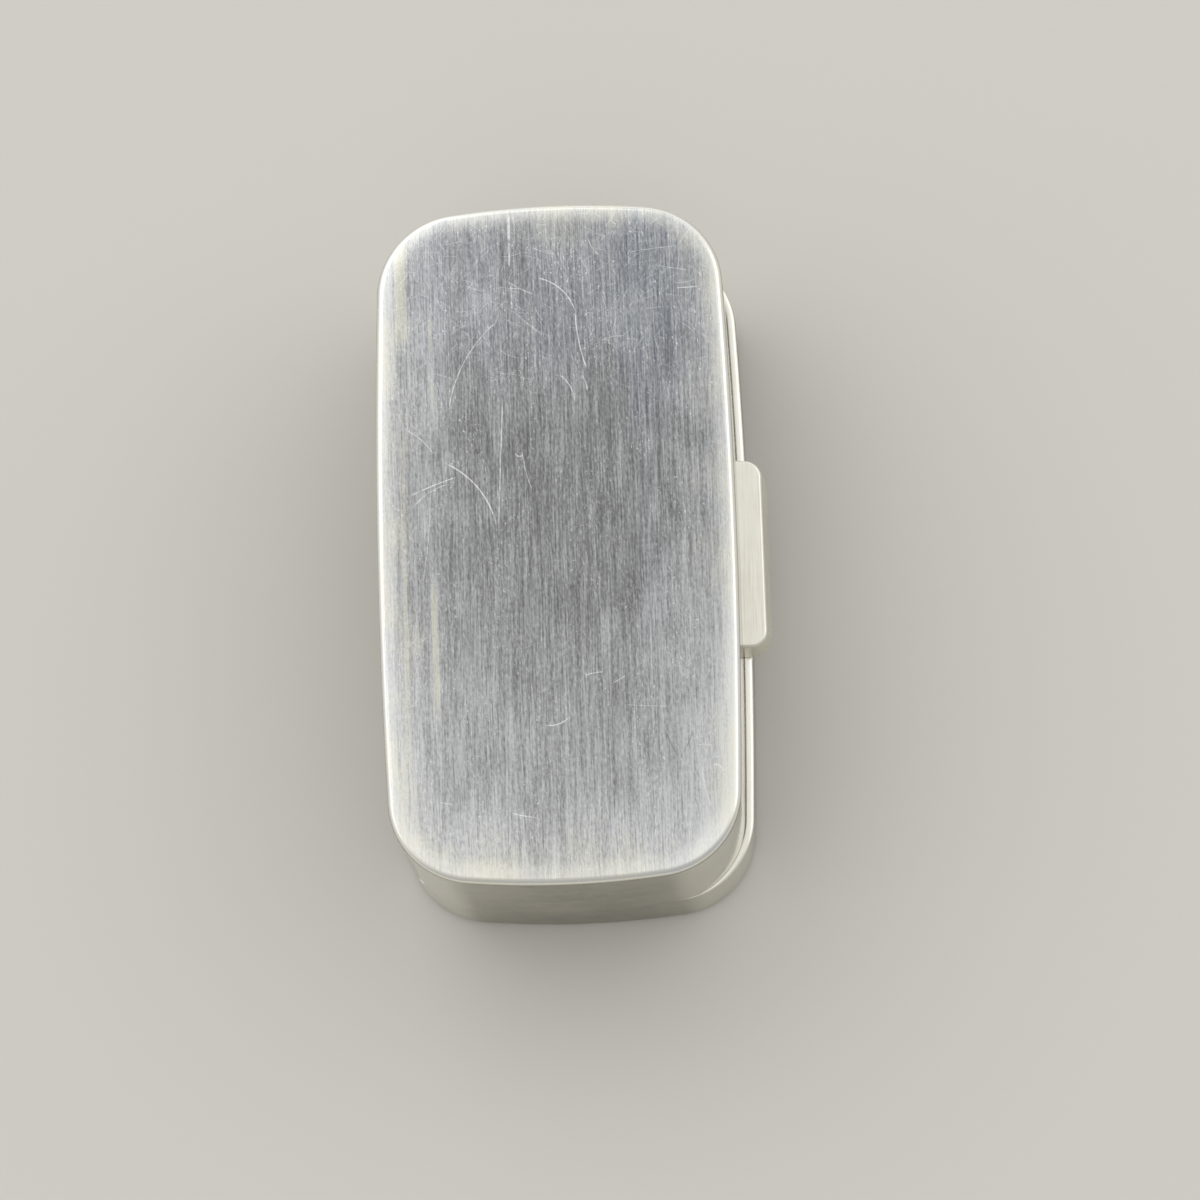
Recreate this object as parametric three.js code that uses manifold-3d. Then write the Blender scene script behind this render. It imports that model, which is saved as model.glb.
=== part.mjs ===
// A small silver pillbox: a shallow base and a deeper lid on a flush hinge of five knuckles.
// Millimetres, +Z up. X runs along the box, the hinge is at +Y and the thumb-piece at -Y.
// The origin is on the underside, below the middle of the lid.
import * as THREE from 'three';
import { mergeVertices } from 'three/addons/utils/BufferGeometryUtils.js';
import Module from 'manifold-3d';

const wasm = await Module();
wasm.setup();

// Driving sizes of the case
const LENGTH = 42.8;
const WIDTH = 22;
const CORNER_RADIUS = 5.25;
const END_BOW_RADIUS = 55;
const SIDE_BOW_RADIUS = 396;
const BASE_HEIGHT = 5.4;
const LID_HEIGHT = 9.6;
// The base stands proud of the lid along the front, and is a little shorter than it at each end
const LEDGE = 0.55;
const END_SETBACK = 0.1;

// Sheet and strip
const LID_WALL = 0.55;
const LID_PLATE = 0.6;
const LID_EDGE_RADIUS = 0.35;
const BASE_WALL = 0.55;
const BASE_PLATE = 0.7;
const BASE_EDGE_RADIUS = 0.55;
const SEAM_GAP = 0.1;
const SOLDER_GAP = 0.05;

// Inner rim of the base, over which the lid closes
const RIM_WALL = 0.5;
const RIM_RISE = 1.2;
const RIM_DEPTH = 2;
const RIM_CLEARANCE = 0.12;
const RIM_LEAD_IN = 0.2;
const RIM_END_GAP = 0.5;

// Hinge
const TUBE_RADIUS = 1.18;
const TUBE_INSET = 0.02;
const BORE_RADIUS = 0.5;
const PIN_CLEARANCE = 0.05;
const PIN_RECESS = 1.5;
const HINGE_DROP = 0.6;
const BASE_GROOVE_CLEARANCE = 0.1;
const LID_GROOVE_CLEARANCE = 0.37;
const GUTTER_WALL = 0.45;
const KNUCKLE_COUNT = 5;
const KNUCKLE_GAP = 0.12;
const SADDLE_REACH = 0.4;

// Thumb-piece
const THUMB_LENGTH = 12.5;
const THUMB_PROJECTION = 1.77;
const THUMB_HEIGHT = 1.9;
const THUMB_CORNER_RADIUS = 1.3;
const THUMB_DRAFT = 0.28;
const THUMB_OFFSET = 0.45;

// Fineness: divisions of half an arc of an outline, steps of a rounded edge, sides of a tube
const ARC_DIVISIONS = 5;
const EDGE_STEPS = 4;
const TUBE_SIDES = 48;
// How far a cutting tool runs past what it cuts
const OVERRUN = 1;

// Heights and places that follow from the sizes
const TOTAL_HEIGHT = BASE_HEIGHT + LID_HEIGHT;
const BASE_TOP = BASE_HEIGHT - SEAM_GAP / 2;
const LID_BOTTOM = BASE_HEIGHT + SEAM_GAP / 2;
const LID_PLATE_BOTTOM = TOTAL_HEIGHT - LID_PLATE;
const HINGE_Y = WIDTH / 2 - TUBE_INSET - TUBE_RADIUS;
const HINGE_Z = BASE_HEIGHT - HINGE_DROP;
const BASE_GROOVE_RADIUS = TUBE_RADIUS + BASE_GROOVE_CLEARANCE;
const LID_GROOVE_RADIUS = TUBE_RADIUS + LID_GROOVE_CLEARANCE;

// A plan is a bowed oblong: half sizes, the place of its middle in Y, and its three radii
const lidPlan = {
  halfLength: LENGTH / 2,
  halfWidth: WIDTH / 2,
  middleY: 0,
  sideRadius: SIDE_BOW_RADIUS,
  endRadius: END_BOW_RADIUS,
  cornerRadius: CORNER_RADIUS,
};
const basePlan = {
  ...lidPlan,
  halfLength: LENGTH / 2 - END_SETBACK,
  halfWidth: (WIDTH + LEDGE) / 2,
  middleY: -LEDGE / 2,
};

// The plan moved inwards all round: every radius and half size shrinks alike
function insetPlan(plan, inset) {
  return {
    halfLength: plan.halfLength - inset,
    halfWidth: plan.halfWidth - inset,
    middleY: plan.middleY,
    sideRadius: plan.sideRadius - inset,
    endRadius: plan.endRadius - inset,
    cornerRadius: plan.cornerRadius - inset,
  };
}

// The centre of the corner arc at +X +Y, which touches the end arc and the side arc from inside
function cornerCentre(plan) {
  const endCentre = new THREE.Vector2(plan.halfLength - plan.endRadius, 0);
  const sideCentre = new THREE.Vector2(0, plan.halfWidth - plan.sideRadius);
  const toEnd = plan.endRadius - plan.cornerRadius;
  const toSide = plan.sideRadius - plan.cornerRadius;
  const link = sideCentre.clone().sub(endCentre);
  const along = (toEnd ** 2 - toSide ** 2 + link.lengthSq()) / (2 * link.length());
  const across = Math.sqrt(toEnd ** 2 - along ** 2);
  const unit = link.clone().normalize();
  const normal = new THREE.Vector2(-unit.y, unit.x);
  return endCentre.addScaledVector(unit, along).addScaledVector(normal, across);
}

// The outline as eight arcs, anticlockwise from the right-hand end
function outline(plan) {
  const { halfLength, halfWidth, middleY, sideRadius, endRadius, cornerRadius } = plan;
  const shape = new THREE.Shape();
  const corner = cornerCentre(plan);
  const endTurn = Math.atan2(corner.y, corner.x - (halfLength - endRadius));
  const sideTurn = Math.atan2(corner.y - (halfWidth - sideRadius), corner.x);
  const arc = (x, y, radius, from, to) => shape.absarc(x, middleY + y, radius, from, to, false);
  arc(halfLength - endRadius, 0, endRadius, -endTurn, endTurn);
  arc(corner.x, corner.y, cornerRadius, endTurn, sideTurn);
  arc(0, halfWidth - sideRadius, sideRadius, sideTurn, Math.PI - sideTurn);
  arc(-corner.x, corner.y, cornerRadius, Math.PI - sideTurn, Math.PI - endTurn);
  arc(endRadius - halfLength, 0, endRadius, Math.PI - endTurn, Math.PI + endTurn);
  arc(-corner.x, -corner.y, cornerRadius, Math.PI + endTurn, Math.PI + sideTurn);
  arc(0, sideRadius - halfWidth, sideRadius, Math.PI + sideTurn, 2 * Math.PI - sideTurn);
  arc(corner.x, -corner.y, cornerRadius, 2 * Math.PI - sideTurn, 2 * Math.PI - endTurn);
  return shape;
}

// A closed geometry as a solid for cutting and joining
function solid(geometry) {
  const bare = geometry.clone();
  bare.deleteAttribute('normal');
  bare.deleteAttribute('uv');
  const welded = mergeVertices(bare, 1e-5);
  const vertProperties = new Float32Array(welded.attributes.position.array);
  const triVerts = new Uint32Array(welded.index.array);
  return new wasm.Manifold(new wasm.Mesh({ numProp: 3, vertProperties, triVerts }));
}

// A solid back as a geometry for a mesh
function geometryOf(body) {
  const mesh = body.getMesh();
  const geometry = new THREE.BufferGeometry();
  geometry.setAttribute('position', new THREE.BufferAttribute(mesh.vertProperties, 3));
  geometry.setIndex(new THREE.BufferAttribute(mesh.triVerts, 1));
  return geometry;
}

// An outline drawn up from one height to another
function prism(shape, bottom, top) {
  const settings = { depth: top - bottom, bevelEnabled: false, curveSegments: ARC_DIVISIONS };
  const geometry = new THREE.ExtrudeGeometry(shape, settings);
  return solid(geometry.translate(0, 0, bottom));
}

// A prism whose far edge is drawn in by size over a height of run, rounded or straight
function drawnInPrism(shape, bottom, top, size, run, steps) {
  const settings = {
    depth: top - bottom,
    bevelEnabled: true,
    bevelSize: size,
    bevelOffset: -size,
    bevelThickness: run,
    bevelSegments: steps,
    curveSegments: ARC_DIVISIONS,
  };
  const geometry = new THREE.ExtrudeGeometry(shape, settings);
  return solid(geometry.translate(0, 0, bottom));
}

// A block between two corners
function block(low, high) {
  const size = high.map((value, axis) => value - low[axis]);
  const middle = high.map((value, axis) => (value + low[axis]) / 2);
  return solid(new THREE.BoxGeometry(...size).translate(...middle));
}

// A band of sheet between an outer plan and an inner plan
function band(outer, inner, bottom, top) {
  const hole = prism(outline(inner), bottom - OVERRUN, top + OVERRUN);
  return prism(outline(outer), bottom, top).subtract(hole);
}

// A round bar on the hinge axis
function hingeBar(radius, fromX, toX) {
  const geometry = new THREE.CylinderGeometry(radius, radius, toX - fromX, TUBE_SIDES);
  geometry.rotateZ(Math.PI / 2);
  return solid(geometry.translate((fromX + toX) / 2, HINGE_Y, HINGE_Z));
}

// Everything within the case's length and width between two heights and behind a line in Y
function behind(lineY, bottom, top) {
  return block([-LENGTH, lineY, bottom], [LENGTH, WIDTH, top]);
}

// The groove for the hinge tubes, with the slot behind it that leaves them in sight
function lidGroove() {
  const slot = behind(HINGE_Y, LID_BOTTOM - OVERRUN, HINGE_Z + LID_GROOVE_RADIUS);
  return hingeBar(LID_GROOVE_RADIUS, -LENGTH, LENGTH).add(slot);
}

function baseGroove() {
  const slot = behind(HINGE_Y, HINGE_Z - BASE_GROOVE_RADIUS, BASE_TOP + OVERRUN);
  return hingeBar(BASE_GROOVE_RADIUS, -LENGTH, LENGTH).add(slot);
}

// Where the hinge axis comes out through the rounded corner
function hingeReach() {
  const corner = cornerCentre(basePlan);
  const rise = HINGE_Y - basePlan.middleY - corner.y;
  return corner.x + Math.sqrt(CORNER_RADIUS ** 2 - rise ** 2);
}

// Lid
function lidPlate() {
  const edgeBottom = TOTAL_HEIGHT - LID_EDGE_RADIUS;
  const whole = drawnInPrism(outline(lidPlan), LID_PLATE_BOTTOM, edgeBottom,
    LID_EDGE_RADIUS, LID_EDGE_RADIUS, EDGE_STEPS);
  const under = block([-LENGTH, -WIDTH, 0], [LENGTH, WIDTH, LID_PLATE_BOTTOM]);
  return whole.subtract(under);
}

function lidWall() {
  const wall = band(lidPlan, insetPlan(lidPlan, LID_WALL), LID_BOTTOM, LID_PLATE_BOTTOM);
  return wall.subtract(lidGroove());
}

function lidGutter() {
  const inside = prism(outline(insetPlan(lidPlan, LID_WALL + SOLDER_GAP)), LID_BOTTOM, TOTAL_HEIGHT);
  const outside = hingeBar(LID_GROOVE_RADIUS + GUTTER_WALL, -LENGTH, LENGTH);
  return outside.intersect(inside).subtract(lidGroove());
}

function thumbPiece() {
  const frontY = -WIDTH / 2 - THUMB_PROJECTION;
  const backY = OVERRUN - WIDTH / 2;
  const half = THUMB_LENGTH / 2;
  const radius = THUMB_CORNER_RADIUS;
  const shape = new THREE.Shape();
  shape.absarc(THUMB_OFFSET - half + radius, frontY + radius, radius, Math.PI, 1.5 * Math.PI, false);
  shape.absarc(THUMB_OFFSET + half - radius, frontY + radius, radius, 1.5 * Math.PI, 2 * Math.PI, false);
  shape.lineTo(THUMB_OFFSET + half, backY);
  shape.lineTo(THUMB_OFFSET - half, backY);
  const whole = drawnInPrism(shape, LID_BOTTOM - OVERRUN, LID_BOTTOM, THUMB_DRAFT, THUMB_HEIGHT, 1);
  const under = block([-LENGTH, -WIDTH, LID_BOTTOM - THUMB_HEIGHT - 2 * OVERRUN], [LENGTH, 0, LID_BOTTOM]);
  const lid = prism(outline(insetPlan(lidPlan, -SOLDER_GAP)), 0, TOTAL_HEIGHT);
  return whole.subtract(under).subtract(lid);
}

// Base
function basePlate() {
  const whole = drawnInPrism(outline(basePlan), BASE_EDGE_RADIUS, BASE_PLATE,
    BASE_EDGE_RADIUS, BASE_EDGE_RADIUS, EDGE_STEPS);
  const over = block([-LENGTH, -WIDTH, BASE_PLATE], [LENGTH, WIDTH, TOTAL_HEIGHT]);
  return whole.subtract(over);
}

function baseWall() {
  const wall = band(basePlan, insetPlan(basePlan, BASE_WALL), BASE_PLATE, BASE_TOP);
  return wall.subtract(baseGroove());
}

function baseGutter() {
  const inside = prism(outline(insetPlan(basePlan, BASE_WALL + SOLDER_GAP)), BASE_PLATE, BASE_TOP);
  const outside = hingeBar(BASE_GROOVE_RADIUS + GUTTER_WALL, -LENGTH, LENGTH);
  return outside.intersect(inside).subtract(baseGroove());
}

// The rim is soldered inside the base wall, and stands up inside the lid on its front and ends
function baseRim() {
  const bottom = BASE_HEIGHT - RIM_DEPTH;
  const top = BASE_HEIGHT + RIM_RISE;
  const guide = insetPlan(lidPlan, LID_WALL + RIM_CLEARANCE);
  const fit = outline(insetPlan(basePlan, BASE_WALL + SOLDER_GAP));
  const post = drawnInPrism(outline(guide), bottom, top - RIM_LEAD_IN, RIM_LEAD_IN, RIM_LEAD_IN, 1);
  const hollow = prism(outline(insetPlan(guide, RIM_WALL)), -OVERRUN, TOTAL_HEIGHT);
  const gutterFront = HINGE_Y - LID_GROOVE_RADIUS - GUTTER_WALL;
  const hingeSide = behind(gutterFront - RIM_END_GAP, -OVERRUN, TOTAL_HEIGHT);
  const within = prism(fit, bottom, top);
  return prism(fit, bottom, BASE_TOP).add(post).intersect(within).subtract(hollow).subtract(hingeSide);
}

// Hinge: knuckles are counted from the left, and belong to the base and the lid by turns
function knuckleEnds(index) {
  const pitch = 2 * hingeReach() / KNUCKLE_COUNT;
  const start = -hingeReach() + index * pitch;
  const fromX = index === 0 ? -LENGTH : start + KNUCKLE_GAP / 2;
  const toX = index === KNUCKLE_COUNT - 1 ? LENGTH : start + pitch - KNUCKLE_GAP / 2;
  return [fromX, toX];
}

function baseKnuckle(index) {
  const [fromX, toX] = knuckleEnds(index);
  const flush = prism(outline(basePlan), 0, TOTAL_HEIGHT);
  const bore = hingeBar(BORE_RADIUS, fromX - OVERRUN, toX + OVERRUN);
  return hingeBar(TUBE_RADIUS, fromX, toX).subtract(bore).intersect(flush);
}

// A lid knuckle carries the saddle of solder that fills the groove above it
function lidKnuckle(index) {
  const [fromX, toX] = knuckleEnds(index);
  const bore = hingeBar(BORE_RADIUS, fromX - OVERRUN, toX + OVERRUN);
  const above = block([fromX, 0, LID_BOTTOM + SOLDER_GAP], [toX, HINGE_Y + SADDLE_REACH, TOTAL_HEIGHT]);
  const saddle = hingeBar(LID_GROOVE_RADIUS - SOLDER_GAP, fromX, toX).intersect(above);
  return hingeBar(TUBE_RADIUS, fromX, toX).add(saddle).subtract(bore);
}

function hingePin() {
  const end = hingeReach() - PIN_RECESS;
  return hingeBar(BORE_RADIUS - PIN_CLEARANCE, -end, end);
}

// Colour and finish of each sort of surface
const finishes = {
  brushed: { color: 0xb9bbbd, roughness: 0.42, metalness: 1 },
  polished: { color: 0xc9c8c2, roughness: 0.16, metalness: 1 },
  satin: { color: 0xd8d5c8, roughness: 0.3, metalness: 1 },
  worn: { color: 0xa9a69a, roughness: 0.35, metalness: 1 },
};

const pillbox = new THREE.Group();

function place(name, body, finish) {
  const mesh = new THREE.Mesh(geometryOf(body), new THREE.MeshStandardMaterial(finishes[finish]));
  mesh.name = name;
  pillbox.add(mesh);
}

place('base_plate', basePlate(), 'polished');
place('base_wall', baseWall(), 'polished');
place('base_rim', baseRim(), 'satin');
place('base_gutter', baseGutter(), 'worn');
place('lid_plate', lidPlate(), 'brushed');
place('lid_wall', lidWall(), 'polished');
place('lid_gutter', lidGutter(), 'worn');
place('thumb_piece', thumbPiece(), 'satin');
for (let index = 0; index < KNUCKLE_COUNT; index += 1) {
  if (index % 2 === 0) {
    place(`base_knuckle_${index + 1}`, baseKnuckle(index), 'worn');
  } else {
    place(`lid_knuckle_${index + 1}`, lidKnuckle(index), 'worn');
  }
}
place('hinge_pin', hingePin(), 'worn');

export default pillbox;
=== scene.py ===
"""Looks of a small silver pillbox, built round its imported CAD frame.

Sizes here are millimetres and meshes are scaled to metres as they are made. X runs along the
box, the hinge is at +Y, the thumb-piece at -Y, and +Z is up.
"""
import math
from collections import namedtuple

import bmesh
import bpy
from mathutils import Euler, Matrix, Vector, noise


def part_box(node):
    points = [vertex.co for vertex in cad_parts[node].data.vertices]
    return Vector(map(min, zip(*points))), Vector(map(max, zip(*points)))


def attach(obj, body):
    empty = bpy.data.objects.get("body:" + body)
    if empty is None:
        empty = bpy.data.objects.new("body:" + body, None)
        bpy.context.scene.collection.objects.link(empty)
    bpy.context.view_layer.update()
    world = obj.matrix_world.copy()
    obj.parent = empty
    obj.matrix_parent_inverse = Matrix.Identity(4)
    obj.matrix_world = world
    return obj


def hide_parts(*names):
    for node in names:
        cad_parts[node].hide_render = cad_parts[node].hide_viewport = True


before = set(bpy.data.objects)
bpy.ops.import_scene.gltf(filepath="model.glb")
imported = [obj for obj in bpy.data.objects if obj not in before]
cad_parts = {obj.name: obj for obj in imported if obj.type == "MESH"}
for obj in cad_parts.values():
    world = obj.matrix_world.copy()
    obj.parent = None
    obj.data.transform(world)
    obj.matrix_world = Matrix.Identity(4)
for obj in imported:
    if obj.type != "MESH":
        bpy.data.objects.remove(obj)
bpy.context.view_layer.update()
MM = 0.001


def box_mm(node):
    """Lowest and highest corners of a CAD node, in millimetres."""
    low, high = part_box(node)
    return low / MM, high / MM


# Heights and places read from the frame
BASE_LOW, BASE_HIGH = box_mm("base_wall")
LID_LOW, LID_HIGH = box_mm("lid_wall")
PLATE_LOW, PLATE_HIGH = box_mm("lid_plate")
FLOOR_PLATE_LOW, FLOOR_PLATE_HIGH = box_mm("base_plate")
RIM_LOW, RIM_HIGH = box_mm("base_rim")
THUMB_LOW, THUMB_HIGH = box_mm("thumb_piece")
PIN_LOW, PIN_HIGH = box_mm("hinge_pin")
BASE_TOP = BASE_HIGH.z
LID_BOTTOM = LID_LOW.z
TOP = PLATE_HIGH.z
HINGE_Y = (PIN_LOW.y + PIN_HIGH.y) / 2
HINGE_Z = (PIN_LOW.z + PIN_HIGH.z) / 2

# Sheet, as the frame was drawn
WALL = 0.55
SOLDER_GAP = 0.05
SADDLE_REACH = 0.4
CORNER_RADIUS = 5.25
END_BOW_RADIUS = 55
SIDE_BOW_RADIUS = 396
BASE_EDGE_RADIUS = 0.55
RIM_WALL = 0.5
RIM_CLEARANCE = 0.12
RIM_LEAD_IN = 0.2
TUBE_RADIUS = 1.18
BORE_RADIUS = 0.5
PIN_RADIUS = 0.45
BASE_GROOVE_RADIUS = 1.28
LID_GROOVE_RADIUS = 1.55
GUTTER_WALL = 0.45
THUMB_CORNER_RADIUS = 1.3
THUMB_DRAFT = 0.28

# Worn roundings, and how far the top stands above its own edges
LID_EDGE_RADIUS = 0.42
CUT_ROUNDING = 0.07
LEDGE_SHARE = 0.9
LEDGE_DROP = 0.42
THUMB_ROUNDING = 0.16
THUMB_FALL = 0.25
TUBE_ROUNDING = 0.06
PIN_ROUNDING = 0.15
DOME = 0.13
CROWN = 0.08
CROWN_WIDTH = 5
ROLL = 0.06
ROLL_WIDTH = 1.4
WAVINESS = 0.006
WAVE_LENGTH = 6

# Fineness of the meshes
SIDE_STEPS = 48
END_STEPS = 28
FRONT_CORNER_STEPS = 30
HINGE_CORNER_STEPS = 120
ROUND_STEPS = 6
TOP_ROUND_STEPS = 12
FLOOR_ROUND_STEPS = 10
TUBE_STEPS = 72
SADDLE_TUBE_STEPS = 60
GROOVE_STEPS = 24
CHANNEL_STEPS = 28
GUTTER_STEPS = 24
THUMB_CORNER_STEPS = 14
THUMB_BACK_STEPS = 24
SHARP_ANGLE = math.radians(38)

# Rings of a plate follow its outline as far in as INNER_RING, then draw together on a middle line
INNER_RING = 4.9
FACE_RINGS, FACE_INNER_RINGS = 26, 18
BACK_RINGS, BACK_INNER_RINGS = 6, 4
RING_CROWDING = 1.4

# How far the outer knuckles run past the frame's before they are filed flush
KNUCKLE_OVERRUN = 2.2

Plan = namedtuple("Plan", "half_length half_width middle_y")
Station = namedtuple("Station", "x y radius turn")


# Outline

def plan_of(low, high):
    """The bowed oblong that a wall of the frame is bent to."""
    return Plan((high.x - low.x) / 2, (high.y - low.y) / 2, (high.y + low.y) / 2)


LID_PLAN = plan_of(LID_LOW, LID_HIGH)
BASE_PLAN = plan_of(BASE_LOW, BASE_HIGH)


def corner_centre(plan):
    """Centre of the corner arc at +X +Y, measured from the middle of the plan."""
    end = Vector((plan.half_length - END_BOW_RADIUS, 0))
    side = Vector((0, plan.half_width - SIDE_BOW_RADIUS))
    to_end = END_BOW_RADIUS - CORNER_RADIUS
    to_side = SIDE_BOW_RADIUS - CORNER_RADIUS
    link = side - end
    along = (to_end**2 - to_side**2 + link.length_squared) / (2 * link.length)
    across = math.sqrt(to_end**2 - along**2)
    unit = link.normalized()
    return end + unit * along + Vector((-unit.y, unit.x)) * across


def corner_turns(plan):
    """The angles at which a corner arc meets the bow of the end and the bow of the side."""
    corner = corner_centre(plan)
    end_turn = math.atan2(corner.y, corner.x - plan.half_length + END_BOW_RADIUS)
    side_turn = math.atan2(corner.y - plan.half_width + SIDE_BOW_RADIUS, corner.x)
    return end_turn, side_turn


def arc_stations(x, y, radius, start, end, steps):
    """Stations along one arc of the outline, without its last point."""
    return [Station(x, y, radius, start + (end - start) * step / steps) for step in range(steps)]


def stations(plan, hinge_steps=HINGE_CORNER_STEPS):
    """Places round the outline, anticlockwise from the right-hand end, each on its own arc."""
    corner = corner_centre(plan)
    end_x = plan.half_length - END_BOW_RADIUS
    side_y = plan.half_width - SIDE_BOW_RADIUS
    end, side = corner_turns(plan)
    half = math.pi
    arcs = [
        (end_x, 0, END_BOW_RADIUS, -end, end, END_STEPS),
        (corner.x, corner.y, CORNER_RADIUS, end, side, hinge_steps),
        (0, side_y, SIDE_BOW_RADIUS, side, half - side, SIDE_STEPS),
        (-corner.x, corner.y, CORNER_RADIUS, half - side, half - end, hinge_steps),
        (-end_x, 0, END_BOW_RADIUS, half - end, half + end, END_STEPS),
        (-corner.x, -corner.y, CORNER_RADIUS, half + end, half + side, FRONT_CORNER_STEPS),
        (0, -side_y, SIDE_BOW_RADIUS, half + side, 2 * half - side, SIDE_STEPS),
        (corner.x, -corner.y, CORNER_RADIUS, 2 * half - side, 2 * half - end, FRONT_CORNER_STEPS),
    ]
    return [
        station
        for x, y, radius, start, stop, steps in arcs
        for station in arc_stations(x, plan.middle_y + y, radius, start, stop, steps)
    ]


def at(station, inset):
    """The point of a station that lies inset inside the outline."""
    reach = station.radius - inset
    return station.x + reach * math.cos(station.turn), station.y + reach * math.sin(station.turn)


def corner_x(plan, inset, y):
    """Where the rounded corner lies in X at a place in Y, for anything cut flush with it."""
    corner = corner_centre(plan)
    rise = y - plan.middle_y - corner.y
    return corner.x + math.sqrt(max(0, (CORNER_RADIUS - inset) ** 2 - rise**2))


def back_y(plan, inset, x):
    """Where the back wall lies in Y at a place in X, inset inside the outline."""
    reach = SIDE_BOW_RADIUS - inset
    return plan.middle_y + plan.half_width - SIDE_BOW_RADIUS + math.sqrt(reach**2 - x**2)


def lid_front_y(x):
    """Where the outside of the lid's front wall lies in Y at a place in X."""
    return SIDE_BOW_RADIUS - LID_PLAN.half_width - math.sqrt(SIDE_BOW_RADIUS**2 - x**2)


# Meshes

def mesh_of(name, points, faces):
    """A clean closed mesh in metres from points in millimetres."""
    mesh = bpy.data.meshes.new(name)
    mesh.from_pydata([Vector(point) * MM for point in points], [], faces)
    build = bmesh.new()
    build.from_mesh(mesh)
    bmesh.ops.remove_doubles(build, verts=build.verts, dist=1e-7)
    bmesh.ops.dissolve_degenerate(build, edges=build.edges, dist=1e-8)
    bmesh.ops.recalc_face_normals(build, faces=build.faces)
    build.to_mesh(mesh)
    build.free()
    return mesh


def common_part(mesh, other):
    """The part that two closed meshes share."""
    first = bpy.data.objects.new("First", mesh)
    second = bpy.data.objects.new("Second", other)
    for each in (first, second):
        bpy.context.scene.collection.objects.link(each)
    shared = first.modifiers.new("Shared", "BOOLEAN")
    shared.operation = "INTERSECT"
    shared.solver = "EXACT"
    shared.object = second
    bpy.context.view_layer.update()
    evaluated = first.evaluated_get(bpy.context.evaluated_depsgraph_get())
    made = bpy.data.meshes.new_from_object(evaluated)
    for each in (first, second):
        bpy.data.objects.remove(each)
    return made


def show(name, surface, body, node, within=None):
    """Shows a closed surface of points and faces as a smooth piece on a body, in place of a CAD node.

    What lies outside the mesh within is filed away.
    """
    mesh = mesh_of(name, *surface)
    if within:
        mesh = common_part(mesh, within)
    mesh.shade_smooth()
    mesh.set_sharp_from_angle(angle=SHARP_ANGLE)
    piece = bpy.data.objects.new(name, mesh)
    bpy.context.scene.collection.objects.link(piece)
    even = piece.modifiers.new("Even normals", "WEIGHTED_NORMAL")
    even.keep_sharp = True
    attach(piece, body)
    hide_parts(node)
    return piece


def loft(rows):
    """Points and quads of a closed surface through rows of points, the last row joined to the first."""
    width = len(rows[0])
    points = [point for row in rows for point in row]
    faces = []
    for row in range(len(rows)):
        here = row * width
        after = (row + 1) % len(rows) * width
        for column in range(width - 1):
            faces.append((here + column, after + column, after + column + 1, here + column + 1))
    return points, faces


def capped(sections):
    """Points and faces of a bar through sections of equal length, each a closed ring, with flat ends."""
    width = len(sections[0])
    points = [point for section in sections for point in section]
    faces = []
    for row in range(len(sections) - 1):
        here = row * width
        after = here + width
        for column in range(width):
            beside = (column + 1) % width
            faces.append((here + column, here + beside, after + beside, after + column))
    faces.append(tuple(range(width)))
    last = (len(sections) - 1) * width
    faces.append(tuple(range(last + width - 1, last - 1, -1)))
    return points, faces


def rounding(radius, steps=ROUND_STEPS):
    """Steps of a quarter round as (distance along, distance down) from its far side."""
    return [
        (radius * (1 - math.cos(angle)), radius * (1 - math.sin(angle)))
        for angle in (math.pi / 2 * step / steps for step in range(steps + 1))
    ]


# Walls

def lid_cut(y):
    """Lower edge of the lid wall at a place in Y: the seam, or the groove round the hinge."""
    offset = y - HINGE_Y
    if offset >= 0:
        return HINGE_Z + LID_GROOVE_RADIUS
    if offset <= -LID_GROOVE_RADIUS:
        return LID_BOTTOM
    return max(LID_BOTTOM, HINGE_Z + math.sqrt(LID_GROOVE_RADIUS**2 - offset**2))


def base_cut(y):
    """Upper edge of the base wall at a place in Y: the seam, or the groove below the hinge."""
    offset = y - HINGE_Y
    if offset >= 0:
        return HINGE_Z - BASE_GROOVE_RADIUS
    half_squared = BASE_GROOVE_RADIUS**2 - offset**2
    if half_squared <= (BASE_TOP - HINGE_Z) ** 2:
        return BASE_TOP
    return HINGE_Z - math.sqrt(half_squared)


def lid_rounding(_):
    """The outer edge of the lid wall, the same at every station."""
    return rounding(CUT_ROUNDING)


def ledge_rounding(station):
    """The worn outer edge of the base wall: low and wide where it stands out as a ledge."""
    front = (LID_LOW.y - BASE_LOW.y) * max(0, -math.sin(station.turn))
    end = (BASE_HIGH.x - LID_HIGH.x) * abs(math.cos(station.turn))
    width = max(CUT_ROUNDING, LEDGE_SHARE * (front + end))
    drop = max(CUT_ROUNDING, LEDGE_DROP * (front + end))
    return [(width * along, drop * down) for along, down in rounding(1)]


def wall_rows(plan, cut, far_z, outer_rounding, up):
    """Rows of a wall's section round the plan, from the far edge to the cut edge and back inside."""
    inner = [(WALL - along, down) for along, down in reversed(rounding(CUT_ROUNDING))]
    rows = []
    for station in stations(plan):
        outside = (*at(station, 0), far_z)
        inside = (*at(station, WALL), far_z)
        edge = []
        for inset, down in outer_rounding(station) + inner:
            x, y = at(station, inset)
            edge.append((x, y, cut(y) - up * down))
        rows.append([outside, *edge, inside, outside])
    return rows


def lid_wall():
    rows = wall_rows(LID_PLAN, lid_cut, PLATE_LOW.z, lid_rounding, -1)
    return show("lid_wall_sheet", loft(rows), "lid", "lid_wall")


def base_wall():
    rows = wall_rows(BASE_PLAN, base_cut, FLOOR_PLATE_HIGH.z, ledge_rounding, 1)
    return show("base_wall_sheet", loft(rows), "base", "base_wall")


# Plates

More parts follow.
